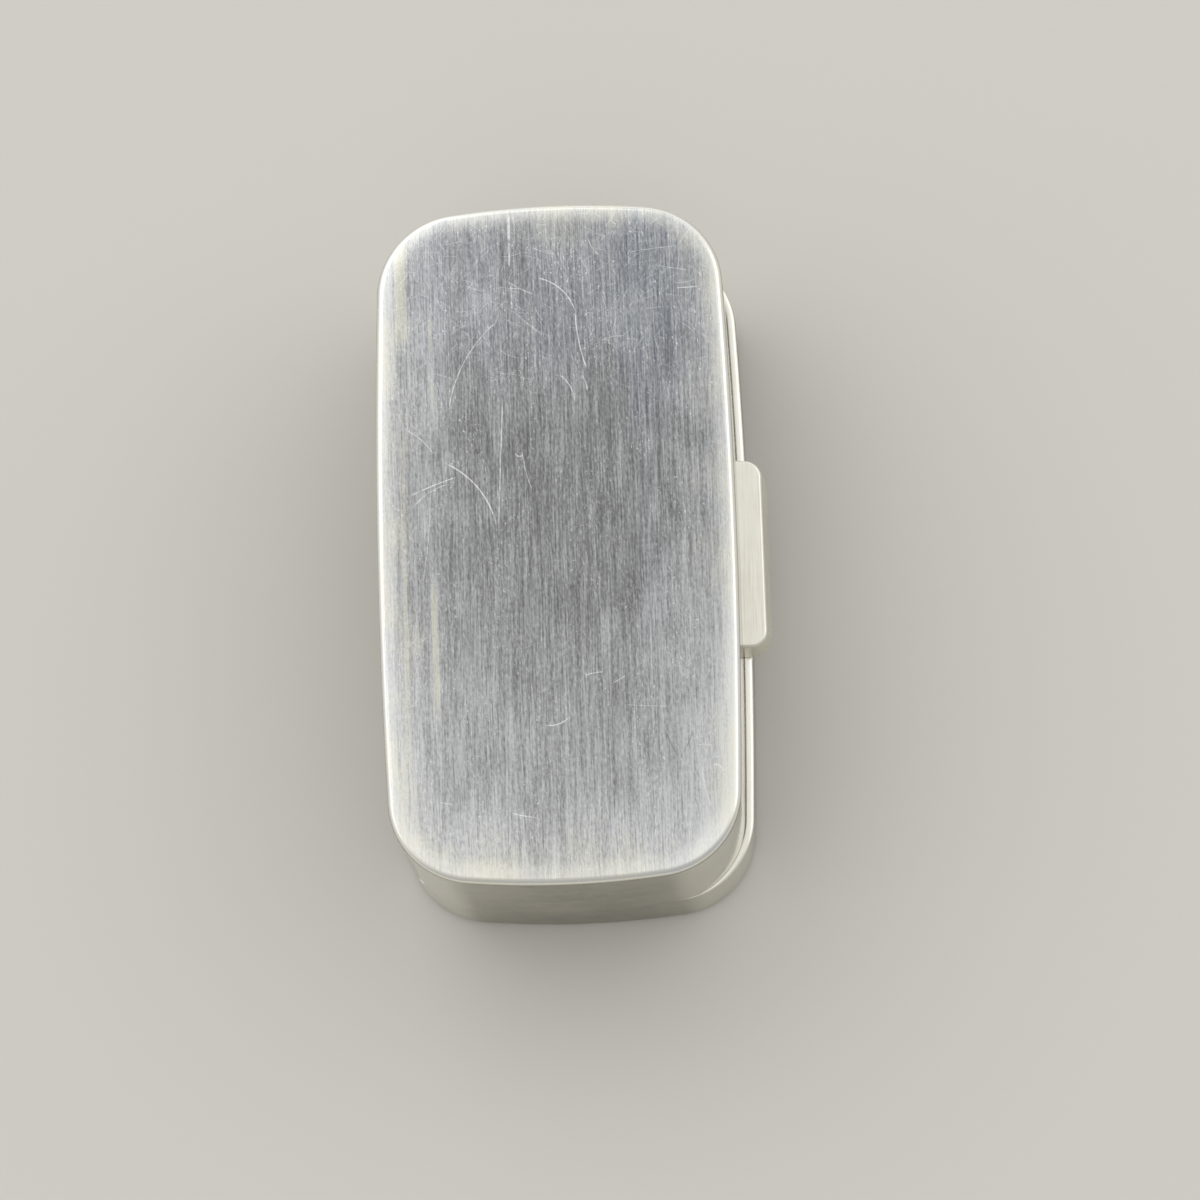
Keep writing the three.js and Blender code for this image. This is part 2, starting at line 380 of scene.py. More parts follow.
def crown_drop(inset, x, y):
    """How far the top lies below its highest level: a dome, a roll at the edges, and slight waves."""
    across = (y - LID_PLAN.middle_y) / LID_PLAN.half_width
    along = x / LID_PLAN.half_length
    fall = max(0, 1 - inset / CROWN_WIDTH)
    roll = max(0, 1 - inset / ROLL_WIDTH)
    wave = noise.noise(Vector((x, y, 0)) / WAVE_LENGTH)
    return (DOME * (across**2 + along**2) / 2 + CROWN * fall**2 + ROLL * roll**2
            + WAVINESS * (1 - fall) * (1 + wave) / 2)


def no_drop(*_):
    return 0


def inward(start, steps):
    """Insets from start to the inner ring, close together at the edge."""
    return [start + (INNER_RING - start) * (step / steps) ** RING_CROWDING for step in range(1, steps + 1)]


def spokes(station, plan, insets, height, inner_rings):
    """Points of one station from a plate's edge to its middle line, at a height of (inset, x, y)."""
    row = []
    for inset in insets:
        x, y = at(station, inset)
        row.append((x, y, height(inset, x, y)))
    edge = Vector(at(station, INNER_RING))
    reach = plan.half_length - plan.half_width
    spine = Vector((max(-reach, min(reach, edge.x)), plan.middle_y))
    for ring in range(1, inner_rings + 1):
        point = edge.lerp(spine, ring / inner_rings)
        inset = INNER_RING + (edge - point).length
        row.append((*point, height(inset, *point)))
    return row


def plate_rows(plan, face_z, back_z, radius, drop, round_steps):
    """Rows of a plate with a rounded edge, from the middle of its back to the middle of its face."""
    toward = 1 if face_z > back_z else -1

    def face(inset, x, y):
        return face_z - toward * drop(inset, x, y)

    def back(*_):
        return back_z

    rows = []
    for station in stations(plan, FRONT_CORNER_STEPS):
        row = spokes(station, plan, [WALL, *inward(WALL, BACK_RINGS)], back, BACK_INNER_RINGS)
        row.reverse()
        row.append((*at(station, 0), back_z))
        for along, down in rounding(radius, round_steps):
            x, y = at(station, along)
            row.append((x, y, face(along, x, y) - toward * down))
        row += spokes(station, plan, inward(radius, FACE_RINGS), face, FACE_INNER_RINGS)
        rows.append(row)
    return rows


def lid_plate():
    rows = plate_rows(LID_PLAN, TOP, PLATE_LOW.z, LID_EDGE_RADIUS, crown_drop, TOP_ROUND_STEPS)
    return show("lid_top_sheet", loft(rows), "lid", "lid_plate")


def base_plate():
    bottom, inside = FLOOR_PLATE_LOW.z, FLOOR_PLATE_HIGH.z
    rows = plate_rows(BASE_PLAN, bottom, inside, BASE_EDGE_RADIUS, no_drop, FLOOR_ROUND_STEPS)
    return show("base_floor_sheet", loft(rows), "base", "base_plate")


# Hinge

def arc_points(radius, start, end, steps):
    """Points of an arc round the hinge axis as (y, z), from one angle in degrees to another."""
    return [
        (HINGE_Y + radius * math.cos(angle), HINGE_Z + radius * math.sin(angle))
        for angle in (math.radians(start + (end - start) * step / steps) for step in range(steps + 1))
    ]


def circle(radius):
    """A full circle round the hinge axis, without its last point."""
    return arc_points(radius, 0, 360, TUBE_STEPS)[:-1]


def level_angle(radius, z):
    """The angle at which a circle round the hinge crosses a height, on its inner side."""
    return 180 - math.degrees(math.asin((z - HINGE_Z) / radius))


def place_angle(radius, y):
    """The angle at which a circle round the hinge crosses a place in Y, on its upper side."""
    return math.degrees(math.acos((y - HINGE_Y) / radius))


def gutter(name, section_at, plan, body, node):
    """A channel along the back wall whose ends meet the inside of the rounded corners."""
    side_turn = corner_turns(plan)[1]
    reach = corner_centre(plan).x + (CORNER_RADIUS - WALL) * math.cos(side_turn)
    sections = []
    for step in range(GUTTER_STEPS + 1):
        x = reach * (2 * step / GUTTER_STEPS - 1)
        sections.append([(x, y, z) for y, z in section_at(back_y(plan, WALL, x))])
    end = section_at(back_y(plan, WALL, reach))
    left, right = ([(side * corner_x(plan, WALL, y), y, z) for y, z in end] for side in (-1, 1))
    return show(name, capped([left, *sections, right]), body, node)


def lid_gutter_section(wall_y):
    """Section of the lid's channel where the inside of the back wall is at wall_y."""
    inner, outer = LID_GROOVE_RADIUS, LID_GROOVE_RADIUS + GUTTER_WALL
    groove = arc_points(inner, level_angle(inner, LID_BOTTOM), 90, GROOVE_STEPS)
    wall_end, seam_end = place_angle(outer, wall_y), level_angle(outer, LID_BOTTOM)
    return groove + [(wall_y, HINGE_Z + inner)] + arc_points(outer, wall_end, seam_end, CHANNEL_STEPS)


def base_gutter_section(wall_y):
    """Section of the base's channel where the inside of the back wall is at wall_y."""
    inner, outer = BASE_GROOVE_RADIUS, BASE_GROOVE_RADIUS + GUTTER_WALL
    groove = arc_points(inner, level_angle(inner, BASE_TOP), 270, GROOVE_STEPS)
    wall_end, seam_end = 360 - place_angle(outer, wall_y), level_angle(outer, BASE_TOP)
    return groove + [(wall_y, HINGE_Z - inner)] + arc_points(outer, wall_end, seam_end, CHANNEL_STEPS)


def lid_gutter():
    return gutter("lid_hinge_gutter", lid_gutter_section, LID_PLAN, "lid", "lid_gutter")


def base_gutter():
    return gutter("base_hinge_gutter", base_gutter_section, BASE_PLAN, "base", "base_gutter")


def tube_rows(section, bore, start, stop):
    """Rows of a tube: each point of the section runs from start to stop and back through the bore."""
    rows = []
    for (y, z), (bore_y, bore_z) in zip(section, bore):
        out = Vector((y - bore_y, z - bore_z)).normalized()
        row = []
        for along, down in reversed(rounding(TUBE_ROUNDING)):
            row.append((start + down, y - out.x * along, z - out.y * along))
        for along, down in rounding(TUBE_ROUNDING):
            row.append((stop - down, y - out.x * along, z - out.y * along))
        row.append((stop, bore_y, bore_z))
        row.append((start, bore_y, bore_z))
        row.append(row[0])
        rows.append(row)
    return rows


def outline_prism():
    """The space inside the base's outline at the height of the hinge."""
    sections = [[(*at(station, 0), z) for station in stations(BASE_PLAN)] for z in (0, TOP)]
    return mesh_of("Outline", *capped(sections))


def saddle_section():
    """Section of a lid knuckle: the tube, with the solder that fills the groove above it."""
    outer = LID_GROOVE_RADIUS - SOLDER_GAP
    saddle_y = HINGE_Y + SADDLE_REACH
    saddle_z = LID_BOTTOM + SOLDER_GAP
    tube_start = level_angle(TUBE_RADIUS, saddle_z)
    tube_end = 360 + place_angle(TUBE_RADIUS, saddle_y)
    tube = arc_points(TUBE_RADIUS, tube_start, tube_end, SADDLE_TUBE_STEPS)
    return tube + arc_points(outer, place_angle(outer, saddle_y), level_angle(outer, saddle_z), GROOVE_STEPS)


def bore_point(y, z):
    """The point of the bore in line with a point of the tube's outside."""
    out = Vector((y - HINGE_Y, z - HINGE_Z)).normalized() * BORE_RADIUS
    return HINGE_Y + out.x, HINGE_Z + out.y


def knuckle(node, number, count):
    """One tube of the hinge. The outer two run out through the corners and are filed flush."""
    low, high = box_mm(node)
    start = low.x - KNUCKLE_OVERRUN if number == 1 else low.x
    stop = high.x + KNUCKLE_OVERRUN if number == count else high.x
    on_base = node.startswith("base")
    section = circle(TUBE_RADIUS) if on_base else saddle_section()
    bore = [bore_point(y, z) for y, z in section]
    tube = loft(tube_rows(section, bore, start, stop))
    body = "base" if on_base else "lid"
    return show(node + "_tube", tube, body, node, outline_prism() if on_base else None)


def hinge_knuckles():
    """All knuckles. The number that ends a name is its place along the hinge."""
    names = sorted(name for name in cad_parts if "knuckle" in name)
    return [knuckle(name, int(name.rsplit("_", 1)[1]), len(names)) for name in names]


def hinge_pin():
    """The pin, a wire with rounded ends."""
    turn = rounding(PIN_ROUNDING)
    left = [(PIN_LOW.x + down, PIN_RADIUS - along) for along, down in reversed(turn)]
    right = [(PIN_HIGH.x - down, PIN_RADIUS - along) for along, down in turn]
    sections = [[(x, y, z) for y, z in circle(radius)] for x, radius in left + right]
    return show("hinge_pin_wire", capped(sections), "base", "hinge_pin")


# Rim and thumb-piece

def rim_run(plan, inset):
    """Stations along the rim, from its left end beside the hinge round the front to its right end."""
    corner = corner_centre(plan)
    end_turn = corner_turns(plan)[0]
    stop = math.asin((RIM_HIGH.y - plan.middle_y - corner.y) / (CORNER_RADIUS - inset))
    y = plan.middle_y + corner.y
    left = arc_stations(-corner.x, y, CORNER_RADIUS, math.pi - stop, math.pi - end_turn, FRONT_CORNER_STEPS)
    right = arc_stations(corner.x, y, CORNER_RADIUS, end_turn, stop, FRONT_CORNER_STEPS)
    right.append(Station(corner.x, y, CORNER_RADIUS, stop))
    whole = stations(plan, 1)
    left_end = END_STEPS + 1 + SIDE_STEPS + 1
    return left + whole[left_end:] + whole[:END_STEPS] + right


def base_rim():
    """The rim inside the base wall: a foot that fits the base, and a standing part that fits the lid."""
    guide = WALL + RIM_CLEARANCE
    profile = [
        (BASE_PLAN, WALL, RIM_LOW.z),
        (BASE_PLAN, WALL, BASE_TOP),
        (LID_PLAN, guide, BASE_TOP),
        (LID_PLAN, guide, RIM_HIGH.z - RIM_LEAD_IN),
        (LID_PLAN, guide + RIM_LEAD_IN, RIM_HIGH.z),
        (LID_PLAN, guide + RIM_WALL, RIM_HIGH.z),
        (LID_PLAN, guide + RIM_WALL, RIM_LOW.z),
    ]
    lines = [[(*at(station, inset), z) for station in rim_run(plan, inset)] for plan, inset, z in profile]
    sections = [list(section) for section in zip(*lines)]
    return show("base_inner_rim", capped(sections), "base", "base_rim")


def thumb_outline(inset):
    """The thumb-piece's outline drawn in by inset, from its left back corner round the front."""
    radius = THUMB_CORNER_RADIUS - inset
    left, right = THUMB_LOW.x + inset, THUMB_HIGH.x - inset
    middle_y = THUMB_LOW.y + inset + radius
    points = []
    for x, start in ((left + radius, 180), (right - radius, 270)):
        for step in range(THUMB_CORNER_STEPS + 1):
            angle = math.radians(start + 90 * step / THUMB_CORNER_STEPS)
            points.append((x + radius * math.cos(angle), middle_y + radius * math.sin(angle)))
    for step in range(THUMB_BACK_STEPS + 1):
        x = right + (left - right) * step / THUMB_BACK_STEPS
        points.append((x, lid_front_y(x)))
    return points


def thumb_piece():
    """The thumb-piece, whose top falls a little towards the front."""
    height = THUMB_HIGH.z - THUMB_LOW.z
    depth = THUMB_HIGH.y - THUMB_LOW.y
    sections = []
    for along, down in reversed(rounding(CUT_ROUNDING)):
        draft = THUMB_DRAFT * down / height
        sections.append([(x, y, THUMB_LOW.z + down) for x, y in thumb_outline(along + draft)])
    for along, down in rounding(THUMB_ROUNDING):
        draft = THUMB_DRAFT * (1 - down / height)
        level = THUMB_HIGH.z - down
        outline = thumb_outline(along + draft)
        sections.append([(x, y, level - THUMB_FALL * (THUMB_HIGH.y - y) / depth) for x, y in outline])
    return show("thumb_piece_block", capped(sections), "lid", "thumb_piece")


# The photograph: its width and height in pixels, and the camera that took it, with its place in
# mm, its turns in degrees, and its lens and sensor in mm
PICTURE = 1200
EYE = Vector((-77.67, -17.08, 315.82))
EYE_TURNS = (13.648, 3.192, -91.757)
LENS = 153.3
SENSOR = 36


def camera_turns():
    return Euler([math.radians(turn) for turn in EYE_TURNS])


def on_top(pixel):
    """The place on the top of the lid, in mm, that the photograph shows at a pixel."""
    across, down = pixel
    ray = Vector((across - PICTURE / 2, PICTURE / 2 - down, -PICTURE * LENS / SENSOR))
    ray.rotate(camera_turns())
    return (EYE + ray * (TOP - EYE.z) / ray.z).xy


# Marks on the top of the lid, at pixels read on enlargements of the photograph

Scratch = namedtuple("Scratch", "first middle last width strength")
Speck = namedtuple("Speck", "pixel radius strength")
Rub = namedtuple("Rub", "column upper lower width strength")
Scatter = namedtuple("Scatter", "spacing length width share bend")

# Scratches paler than the metal round them: three pixels of an arc, width in mm, strength
PALE_SCRATCHES = (
    Scratch((537, 277.6), (562, 290), (575, 311), 0.05, 1),
    Scratch((575, 311), (578.5, 340), (588, 372), 0.05, 1),
    Scratch((508.2, 213), (508.4, 226), (508.6, 241), 0.1, 0.9),
    Scratch((508.6, 241), (508.9, 254), (509.3, 267), 0.07, 0.9),
    Scratch((510.5, 285), (511.5, 298), (512, 310), 0.05, 0.9),
    Scratch((512, 310), (527, 323), (542.6, 335.5), 0.03, 0.6),
    Scratch((506, 280), (522, 289.5), (533.4, 294), 0.04, 0.6),
    Scratch((499, 319.4), (474, 346), (448.5, 411), 0.04, 0.7),
    Scratch((558.7, 374.5), (570, 386), (574.3, 403), 0.06, 0.7),
    Scratch((581.6, 374.5), (585.5, 382), (587.4, 390.6), 0.06, 0.6),
    Scratch((675.8, 287.2), (687, 286.6), (698.7, 285.4), 0.04, 0.8),
    Scratch((654, 264), (670, 267), (687, 269), 0.03, 0.5),
    Scratch((627.5, 251.7), (652, 248), (678, 244.8), 0.03, 0.45),
    Scratch((587.4, 236.7), (592, 247), (598.9, 255), 0.04, 0.6),
    Scratch((444, 244.8), (454, 242.2), (463.4, 240.2), 0.03, 0.5),
    Scratch((469.6, 356), (469.8, 390), (469.6, 424), 0.03, 0.6),
    Scratch((502.4, 397), (500.4, 462), (498.3, 530), 0.04, 0.9),
    Scratch((441.6, 461.7), (471, 480.5), (496.7, 527), 0.06, 0.9),
    Scratch((402.6, 428.4), (420.9, 439.8), (434.7, 456), 0.04, 0.6),
    Scratch((409.4, 496), (432.4, 485.8), (457.7, 476.6), 0.05, 0.7),
    Scratch((411.7, 508.7), (430, 492), (448, 484), 0.05, 0.5),
    Scratch((430, 490), (428, 540), (422, 589), 0.04, 0.5),
    Scratch((515, 453), (519, 447), (523, 455), 0.06, 0.7),
    Scratch((521.9, 451), (526, 472), (532.3, 490), 0.05, 0.7),
    Scratch((585.2, 675.3), (594, 673), (603.3, 671.8), 0.05, 0.8),
    Scratch((613.8, 682.7), (620, 679), (625, 676), 0.04, 0.6),
    Scratch((545.4, 725), (559, 723.8), (569, 717), 0.05, 0.8),
    Scratch((511.8, 813.3), (525, 816), (537.9, 817.8), 0.05, 0.8),
    Scratch((623.7, 704.6), (647, 705.6), (671, 706), 0.03, 0.45),
    Scratch((698, 744.6), (706, 744.4), (713.3, 744.9), 0.04, 0.6),
    Scratch((714, 764), (720.7, 766), (723.4, 772), 0.06, 0.9),
    Scratch((702, 764), (704.6, 784), (712, 806.6), 0.04, 0.6),
    Scratch((436, 801.6), (445, 803.4), (454.6, 804), 0.04, 0.5),
)
DARK_SCRATCHES = (
    Scratch((666, 732), (672.4, 746), (679.7, 759.3), 0.05, 0.8),
    Scratch((693.4, 729.5), (687.2, 745), (679.7, 759.3), 0.05, 0.8),
)
# Bright specks: pixel, radius in mm, strength
SPECKS = (
    Speck((445.7, 310.2), 0.09, 1),
    Speck((442.7, 330.9), 0.08, 0.9),
    Speck((585.8, 314.1), 0.08, 1),
    Speck((613.1, 260.8), 0.08, 1),
    Speck((584.4, 348.1), 0.07, 0.8),
    Speck((711.8, 381.8), 0.08, 0.9),
)
# Broad pale rubs along the top: column, upper end, lower end and width in pixels, and strength
RUBS = (
    Rub(400, 235, 350, 14, 0.9),
    Rub(435.5, 560, 735, 9, 0.9),
    Rub(405, 410, 790, 6, 0.5),
    Rub(653, 410, 540, 13, 0.55),
    Rub(431, 305, 420, 4, 0.5),
)
# Random scratches: spacing, length and width in mm, share of the places that have one, and bend
FAINT_WEB = (
    Scatter(0.9, 0.9, 0.03, 0.75, 0.35),
    Scatter(1.4, 1.4, 0.03, 0.75, 0.35),
)
CLEAR_SCATTER = Scatter(2.2, 1.6, 0.032, 0.3, 0.25)
WEB_STRENGTH = 0.34
CLEAR_STRENGTH = 0.45

# Shares of a mark's reach between which it fades out
LINE_FADE = (0.3, 1)
SPECK_FADE = (0.4, 1)
RUB_FADE = (0.5, 1)
RUB_END_FADE = (0.6, 1)
ARC_END_FADE = (0.75, 1.04)
SHORT_END_FADE = (0.6, 1)

# Three points whose triangle has under a quarter of this area, in square mm, count as in line and
# are joined by a circle of this radius in mm
STRAIGHT = 5e-3
STRAIGHT_RADIUS = 400


# Brushing of the top

Layer = namedtuple("Layer", "sizes turn detail roughness weight")

# Layers of stretched noise: size along, across and deep in mm, turn in degrees, detail,
# roughness, and weight in the brightness of the metal
LAYERS = {
    "fine": Layer((2.4, 0.085, 3), 0.6, 3, 0.6, 0.7),
    "hair": Layer((3.6, 0.18, 3), -0.9, 4, 0.65, 0.7),
    "grit": Layer((0.34, 0.13, 3), 4, 2, 0.6, 0.8),
    "streak": Layer((9, 0.42, 5), 0.3, 3, 0.55, 0.55),
    "broad": Layer((16, 1.7, 6), 0, 2, 0.5, 0.3),
    "cloud": Layer((4.2, 3, 4), 0, 4, 0.6, 0.25),
}
# How much each kind of wear and of painted reflection adds to the brightness of the metal, which is
# BRIGHTNESS without it
BRIGHTNESS = 0.43
WEAR_AND_PAINTED_LIGHT = {
    # worn, border, left, right, near_end, near_right and far_end are partly wear and partly a painted
    # reflection that makes the top paler at its edges, sides and ends
    "worn": 0.08,
    "border": 0.15,
    "left": 0.13,
    "right": 0.11,
    "near_end": 0.13,
    "near_right": 0.16,
    "far_end": 0.07,
    "rubbed": 0.28,
    "hairline": 0.16,
    "marks": 0.42,
    "dark": -0.28,
}
# Ranges of X or Y in mm over which the wear, the painted reflection and the colour of the top change
NEAR_END = (-18, -2)
FAR_END = (4, 15)
BORDER_ALONG = (-20, 12)
LEFT_SIDE = (4.5, 12)
RIGHT_SIDE = (7, 13)
NEAR_RIGHT_ACROSS = (-11, -2)
NEAR_RIGHT_ALONG = (-10, 3)
BAND_RISE = (-9, -7)
BAND_FALL = (-5.5, -3.5)

# Nearness to the outline is measured on a rounded oblong of these powers across and along
ACROSS_POWER = 5
ALONG_POWER = 9

# Depths of the bumps in mm
BRUSHING_DEPTH = 0.0016
POLISH_DEPTH = 0.0006


# Colours and patinas of the metal

DEEP_GREY = (0.24, 0.235, 0.23, 1)
# Deep blue, painted at the far end and in a band across the top as a cool reflection
DEEP_BLUE_AND_PAINTED_REFLECTION = (0.2, 0.235, 0.3, 1)
PALE_COOL = (0.92, 0.94, 0.96, 1)
PALE_WARM = (0.96, 0.95, 0.86, 1)
# The walls' silver is darkened past its real tarnish, as a painted dark reflection
WALL_SILVER_PAINTED_DARK = (0.46, 0.435, 0.345, 1)
CORNER_SILVER = (0.82, 0.8, 0.69, 1)
# Pale silver for rubbed faces and pits, which also paints a highlight on faces that look up
RUBBED_SILVER_AND_PAINTED_HIGHLIGHT = (0.95, 0.93, 0.87, 1)

Patina = namedtuple("Patina", "clean tarnished smooth wear grain streaks")

# Patinas: colour where clean and where tarnished, least roughness, how much wear adds to it,
# size of the grain in mm, and how strongly it streaks
# The polished walls' clean and tarnished colours are both painted dark: an olive tarnish and a painted dark
# reflection
POLISHED_PAINTED_DARK = Patina(WALL_SILVER_PAINTED_DARK, (0.19, 0.168, 0.11, 1), 0.08, 0.16, (1.6, 1.6, 0.07), 0.15)
SATIN = Patina((0.98, 0.97, 0.92, 1), (0.74, 0.71, 0.59, 1), 0.24, 0.16, (3, 0.1, 0.1), 0.9)
WORN = Patina((0.7, 0.68, 0.62, 1), (0.5, 0.47, 0.4, 1), 0.2, 0.2, (1.6, 1.6, 0.07), 0.15)

SEAM_Z = (BASE_TOP + LID_BOTTOM) / 2
PIT_SPACING = 0.55
PIT_FADE = (0.05, 0.16)
PIT_STRENGTH = 0.7
PIT_SHARE = 0.2


def circle_through(first, second, third):
    """Centre and radius of the circle through three points, or of a very large one if in line."""
    (ax, ay), (bx, by), (cx, cy) = first, second, third
    double = 2 * (ax * (by - cy) + bx * (cy - ay) + cx * (ay - by))
    if abs(double) < STRAIGHT:
        across = Vector((ay - cy, cx - ax)).normalized()
        return Vector(second) + across * STRAIGHT_RADIUS, STRAIGHT_RADIUS
    squares = [x * x + y * y for x, y in (first, second, third)]
    x = (squares[0] * (by - cy) + squares[1] * (cy - ay) + squares[2] * (ay - by)) / double
    y = (squares[0] * (cx - bx) + squares[1] * (ax - cx) + squares[2] * (bx - ax)) / double
    centre = Vector((x, y))
    return centre, (centre - Vector(second)).length


class Nodes:
    """Makes and links the nodes of one tree. A value is a number, a colour, a vector or a socket."""

    def __init__(self, tree):
        self.tree = tree

    def node(self, kind, **settings):
        made = self.tree.nodes.new(kind)
        for name, setting in settings.items():
            setattr(made, name, setting)
        return made

    def feed(self, socket, value):
        """Links a socket to another, or sets it."""
        if isinstance(value, bpy.types.NodeSocket):
            self.tree.links.new(value, socket)
        elif value is not None:
            socket.default_value = value

    def fed(self, kind, vector, **settings):
        """A node that reads a vector."""
        node = self.node(kind, **settings)
        self.feed(node.inputs["Vector"], vector)
        return node

    def parts(self, vector):
        return self.fed("ShaderNodeSeparateXYZ", vector).outputs

    def vector(self, operation, first, second=None, scale=None):
        node = self.node("ShaderNodeVectorMath", operation=operation)
        self.feed(node.inputs[0], first)
        self.feed(node.inputs[1], second)
        if scale is not None:
            node.inputs["Scale"].default_value = scale
        return node.outputs["Value" if operation in ("DISTANCE", "DOT_PRODUCT") else "Vector"]

    def math(self, operation, first, second=None):
        node = self.node("ShaderNodeMath", operation=operation)
        self.feed(node.inputs[0], first)
        self.feed(node.inputs[1], second)
        return node.outputs[0]

    def joined(self, operation, values):
        """One value from several, by an operation on two at a time."""
        result = values[0]
        for value in values[1:]:
            result = self.math(operation, result, value)
        return result

    def product(self, *values):
        return self.joined("MULTIPLY", values)

    def strongest(self, *values):
        return self.joined("MAXIMUM", values)

    def total(self, *pairs):
        """The sum of (value, weight) pairs."""
        return self.joined("ADD", [self.math("MULTIPLY", value, weight) for value, weight in pairs])

    def away(self, value, place):
        """How far a value lies from a place, to either side."""
        return self.math("ABSOLUTE", self.math("SUBTRACT", value, place))

    def ramp(self, value, low, high, start=0, end=1):
        """value from low..high mapped smoothly to start..end and held beyond."""
        node = self.node("ShaderNodeMapRange", interpolation_type="SMOOTHSTEP")
        for socket, given in zip(node.inputs, (value, low, high, start, end)):
            self.feed(socket, given)
        return node.outputs[0]

    def fade(self, distance, reach, shares, strength=1):
        """A mark's strength that falls to nothing between two shares of its reach."""
        return self.ramp(distance, reach * shares[0], reach * shares[1], strength, 0)

    def blend(self, factor, first, second):
        """A colour between two, by factor."""
        node = self.node("ShaderNodeMix", data_type="RGBA")
        colours = [socket for socket in node.inputs if socket.type == "RGBA"]
        self.feed(node.inputs[0], factor)
        self.feed(colours[0], first)
        self.feed(colours[1], second)
        return next(socket for socket in node.outputs if socket.type == "RGBA")


class Metal(Nodes):
    """A metal material whose nodes read coordinates in millimetres, fixed to the piece."""

    def __init__(self, name):
        self.material = bpy.data.materials.new(name)
        self.material.use_nodes = True
        super().__init__(self.material.node_tree)
        coordinates = self.node("ShaderNodeTexCoord")
        self.place = self.vector("SCALE", coordinates.outputs["Object"], scale=1 / MM)
        self.x, self.y, self.z = self.parts(self.place)
        self.facing = self.parts(coordinates.outputs["Normal"])

    def stretched(self, sizes, turn=0):
        """Coordinates in which one unit is sizes millimetres, turned about Z by degrees."""
        node = self.fed("ShaderNodeMapping", self.place, vector_type="TEXTURE")
        node.inputs["Rotation"].default_value = (0, 0, math.radians(turn))
        node.inputs["Scale"].default_value = sizes
        return node.outputs[0]

    def noise(self, sizes, turn=0, detail=2, roughness=0.5, distortion=0):
        node = self.fed("ShaderNodeTexNoise", self.stretched(sizes, turn))
        node.inputs["Scale"].default_value = 1
        node.inputs["Detail"].default_value = detail
        node.inputs["Roughness"].default_value = roughness
        node.inputs["Distortion"].default_value = distortion
        return node.outputs["Fac"]

    def cells(self, place, dimensions):
        """Scattered cells about one unit wide, with one point in each."""
        node = self.fed("ShaderNodeTexVoronoi", place, voronoi_dimensions=dimensions)
        node.inputs["Scale"].default_value = 1
        return node

    def arc_scratch(self, flat, scratch):
        """One scratch along an arc in the plane of the top, faded at its ends."""
        first, middle, last = map(on_top, (scratch.first, scratch.middle, scratch.last))
        centre, radius = circle_through(first, middle, last)
        off = self.away(self.vector("DISTANCE", flat, (*centre, 0)), radius)
        along = self.vector("DISTANCE", flat, (*((first + last) / 2), 0))
        line = self.fade(off, scratch.width, LINE_FADE, scratch.strength)
        return self.product(line, self.fade(along, (first - last).length / 2, ARC_END_FADE))

    def speck(self, flat, speck):
        """One bright speck in the plane of the top."""
        away = self.vector("DISTANCE", flat, (*on_top(speck.pixel), 0))
        return self.fade(away, speck.radius, SPECK_FADE, speck.strength)

    def rub(self, rub):
        """One broad pale rub along the top."""
        upper, lower = on_top((rub.column, rub.upper)), on_top((rub.column, rub.lower))
        side = on_top((rub.column + rub.width / 2, rub.upper))
        middle = (upper + lower) / 2
        off = self.away(self.y, middle.y)
        along = self.away(self.x, middle.x)
        stripe = self.fade(off, (side - upper).length, RUB_FADE, rub.strength)
        return self.product(stripe, self.fade(along, (upper.x - lower.x) / 2, RUB_END_FADE))

    def scattered(self, scatter):
        """Short scratches at random places and turns, one in some of the cells."""
        size = scatter.spacing
        place = self.stretched((size, size, size))
        cells = self.cells(place, "2D")
        turn, draw, curl = self.parts(cells.outputs["Color"])
        local = self.vector("SUBTRACT", place, cells.outputs["Position"])
        turned = self.fed("ShaderNodeVectorRotate", local, rotation_type="Z_AXIS")
        self.feed(turned.inputs["Angle"], self.product(turn, 2 * math.pi))
        along, across, _ = self.parts(turned.outputs[0])
        off = self.away(across, self.product(along, along, curl, scatter.bend * size))
        line = self.fade(off, scatter.width / size, LINE_FADE)
        reach = self.fade(self.math("ABSOLUTE", along), scatter.length / 2 / size, SHORT_END_FADE)
        return self.product(line, reach, self.math("LESS_THAN", draw, scatter.share))

    def bump(self, height, depth):
        """A normal from a height of 0 to 1 that stands for depth millimetres."""
        node = self.node("ShaderNodeBump")
        node.inputs["Strength"].default_value = 1
        node.inputs["Distance"].default_value = depth * MM
        self.feed(node.inputs["Height"], height)
        return node.outputs[0]

    def finish(self, colour, roughness, normal):
        surface = self.tree.nodes["Principled BSDF"]
        surface.inputs["Metallic"].default_value = 1
        self.feed(surface.inputs["Base Color"], colour)
        self.feed(surface.inputs["Roughness"], roughness)
        self.feed(surface.inputs["Normal"], normal)
        return self.material


# Brushed top

def edge_nearness(metal):
    """Less than 1 inside the outline of the top, and 1 at it."""
    across = metal.math("ABSOLUTE", metal.math("DIVIDE", metal.y, LID_PLAN.half_width))
    along = metal.math("ABSOLUTE", metal.math("DIVIDE", metal.x, LID_PLAN.half_length))
    across = metal.math("POWER", across, ACROSS_POWER)
    along = metal.math("POWER", along, ALONG_POWER)
    return metal.math("POWER", metal.math("ADD", across, along), 1 / ACROSS_POWER)


